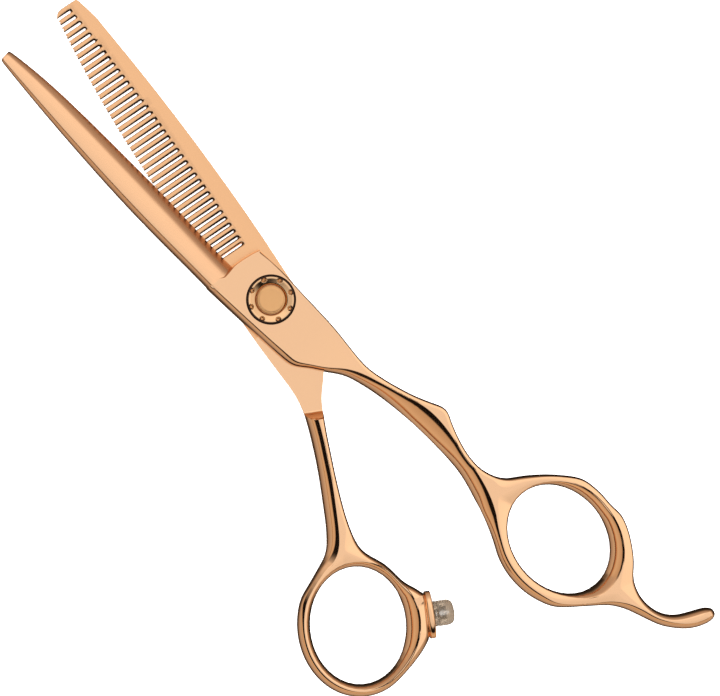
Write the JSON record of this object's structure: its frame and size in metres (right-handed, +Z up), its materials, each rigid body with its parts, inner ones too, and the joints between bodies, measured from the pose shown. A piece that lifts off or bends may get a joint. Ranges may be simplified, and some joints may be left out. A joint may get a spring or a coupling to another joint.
{
  "type": "hair cutting shears",
  "caption": "Hair thinning shears: a plain blade over a comb blade on a dial-tensioned pivot, with finger and thumb rings, finger rest and bumper.",
  "frame": {"origin": "on the pivot axis, in the flat underside of the pivot stud's flange", "axes": "+Y to the blade tips, +X to the finger-ring side, +Z up towards the tension dial"},
  "size_m": [0.0631, 0.1696, 0.0069],
  "materials": {
    "forged_rose_gold": "mirror-polished rose-gold coating on forged steel",
    "dial_gold": "fine-turned pale gold",
    "cap_gold": "satin gold",
    "pivot_steel": "turned steel",
    "spring_steel": "spring steel",
    "bush_bronze": "sintered bronze",
    "washer_polymer": "low-friction polymer",
    "bumper_polymer": "smoky translucent polymer"
  },
  "bodies": {
    "plain_half": {"plain_blade_half": "forged_rose_gold", "pivot_bush": "bush_bronze"},
    "comb_half": {"comb_blade_half": "forged_rose_gold", "pivot_stud": "pivot_steel", "thrust_washer": "washer_polymer", "wave_spring": "spring_steel", "click_plate": "spring_steel", "click_ball_left": "pivot_steel", "click_ball_right": "pivot_steel", "bumper": "bumper_polymer", "bumper_stud": "pivot_steel"},
    "dial": {"tension_dial": "dial_gold", "dial_cap": "cap_gold"}
  },
  "joints": [
    {"name": "blade_pivot", "type": "hinge", "parent": "plain_half", "child": "comb_half", "pos_m": [0, 0, 0.00325], "axis": [0, 0, 1], "range_deg": [-80, 10]},
    {"name": "tension_dial_turn", "type": "hinge", "parent": "comb_half", "child": "dial", "pos_m": [0, 0, 0.0062], "axis": [0, 0, 1], "range_deg": [-90, 90]}
  ]
}
